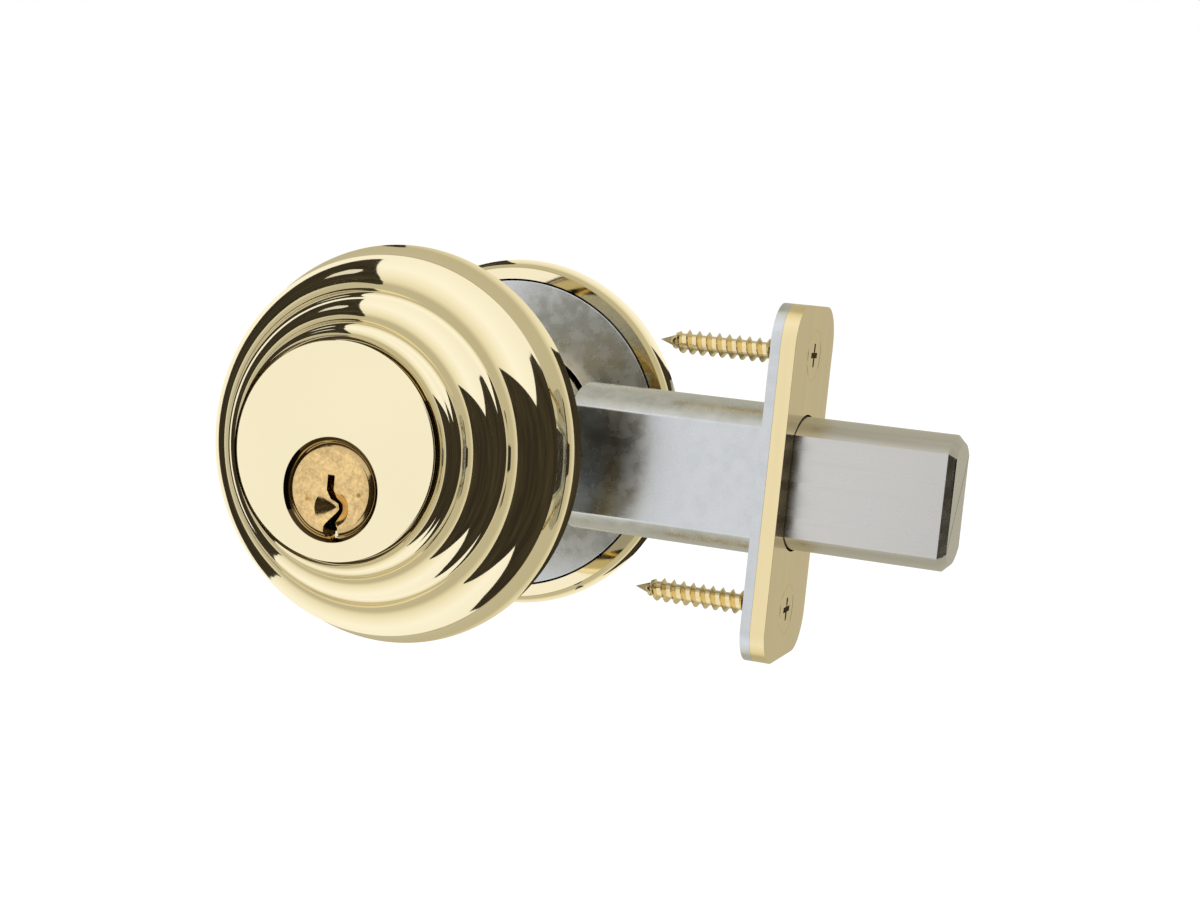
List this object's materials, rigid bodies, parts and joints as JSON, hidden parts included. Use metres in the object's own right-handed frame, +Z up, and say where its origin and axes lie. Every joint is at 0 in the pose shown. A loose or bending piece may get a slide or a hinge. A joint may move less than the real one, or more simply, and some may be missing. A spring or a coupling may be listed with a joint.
{
  "type": "deadbolt door lock",
  "caption": "Tubular deadbolt keyed on both sides: round stepped collars, pin tumbler cylinders, and a sliding bolt driven by a cam through a rectangular faceplate.",
  "frame": {"origin": "where the axis of the door's cross bore meets the bolt's axis, in the middle of the door's thickness", "axes": "-Y outside, +Y inside, +X towards the door's edge along the bolt, +Z up"},
  "size_m": [0.1175, 0.0906, 0.0635],
  "materials": {
    "polished_brass": "mirror polished, pale yellow",
    "faceplate_brass": "polished, fine grain",
    "plug_brass": "satin, slightly worn",
    "machined_brass": "turned",
    "nickel_silver": "turned",
    "spring_wire": "drawn wire",
    "zinc_plated_steel": "zinc plated",
    "bright_steel": "satin",
    "dark_steel": "hardened, oiled"
  },
  "bodies": {
    "lock_case": {"outside_collar": "polished_brass", "inside_collar": "polished_brass", "outside_cylinder_housing": "polished_brass", "inside_cylinder_housing": "polished_brass", "latch_faceplate": "faceplate_brass", "faceplate_screws": "faceplate_brass", "outside_spring_cover": "machined_brass", "inside_spring_cover": "machined_brass", "outside_clamp_nut": "machined_brass", "inside_clamp_nut": "machined_brass", "outside_pin_springs": "spring_wire", "inside_pin_springs": "spring_wire", "outside_tie_plate": "zinc_plated_steel", "inside_mounting_plate": "zinc_plated_steel", "mounting_screws": "zinc_plated_steel", "latch_backing_plate": "zinc_plated_steel", "latch_barrel": "zinc_plated_steel", "barrel_end_plate": "zinc_plated_steel", "cage_plate_outer": "zinc_plated_steel", "cage_plate_inner": "zinc_plated_steel", "cage_rivets": "zinc_plated_steel", "inside_set_screws": "dark_steel"},
    "outside_plug": {"outside_plug": "plug_brass", "outside_plug_cap": "machined_brass"},
    "inside_plug": {"inside_plug": "plug_brass", "inside_plug_cap": "machined_brass"},
    "outside_key_pins": {"outside_key_pins": "nickel_silver"},
    "inside_key_pins": {"inside_key_pins": "nickel_silver"},
    "outside_driver_pins": {"outside_driver_pins": "nickel_silver"},
    "inside_driver_pins": {"inside_driver_pins": "nickel_silver"},
    "bolt_cam": {"bolt_cam": "bright_steel", "crank_pin": "bright_steel", "outside_tailpiece": "bright_steel", "inside_tailpiece": "bright_steel"},
    "bolt": {"bolt": "bright_steel", "bolt_tail": "bright_steel", "tail_pin": "bright_steel", "saw_pin_cap": "bright_steel"},
    "saw_pin": {"saw_pin": "dark_steel"}
  },
  "joints": [
    {"name": "outside_key_turn", "type": "hinge", "parent": "lock_case", "child": "outside_plug", "pos_m": [0, -0.04222, -0.0058], "axis": [0, -1, 0], "range_deg": [-1, 91]},
    {"name": "cam_turn", "type": "hinge", "parent": "lock_case", "child": "bolt_cam", "pos_m": [0, 0, -0.0058], "axis": [0, -1, 0], "range_deg": [-1, 91]},
    {"name": "bolt_slide", "type": "slide", "parent": "lock_case", "child": "bolt", "axis": [1, 0, 0], "range_m": [-0.0254, 0]},
    {"name": "inside_key_turn", "type": "hinge", "parent": "lock_case", "child": "inside_plug", "pos_m": [0, 0.04222, -0.0058], "axis": [0, -1, 0], "range_deg": [0, 90]},
    {"name": "outside_key_pins_drop", "type": "slide", "parent": "outside_plug", "child": "outside_key_pins", "axis": [0, 0, -1], "range_m": [0, 0.0015]},
    {"name": "inside_key_pins_drop", "type": "slide", "parent": "inside_plug", "child": "inside_key_pins", "axis": [0, 0, -1], "range_m": [0, 0.0015]},
    {"name": "outside_driver_pins_lift", "type": "slide", "parent": "lock_case", "child": "outside_driver_pins", "axis": [0, 0, 1], "range_m": [0, 0.002], "stiffness_N_per_m": 300, "springref_m": -0.003, "deforming": ["outside_pin_springs"]},
    {"name": "inside_driver_pins_lift", "type": "slide", "parent": "lock_case", "child": "inside_driver_pins", "axis": [0, 0, 1], "range_m": [0, 0.002], "stiffness_N_per_m": 300, "springref_m": -0.003, "deforming": ["inside_pin_springs"]},
    {"name": "saw_pin_spin", "type": "hinge", "parent": "bolt", "child": "saw_pin", "pos_m": [0.065, 0, -0.0036], "axis": [1, 0, 0], "continuous": true}
  ],
  "couplings": [
    {"joint": "cam_turn", "follows": "bolt_slide", "rad_per_m": -61.842},
    {"joint": "outside_key_turn", "follows": "bolt_slide", "rad_per_m": -61.842}
  ]
}
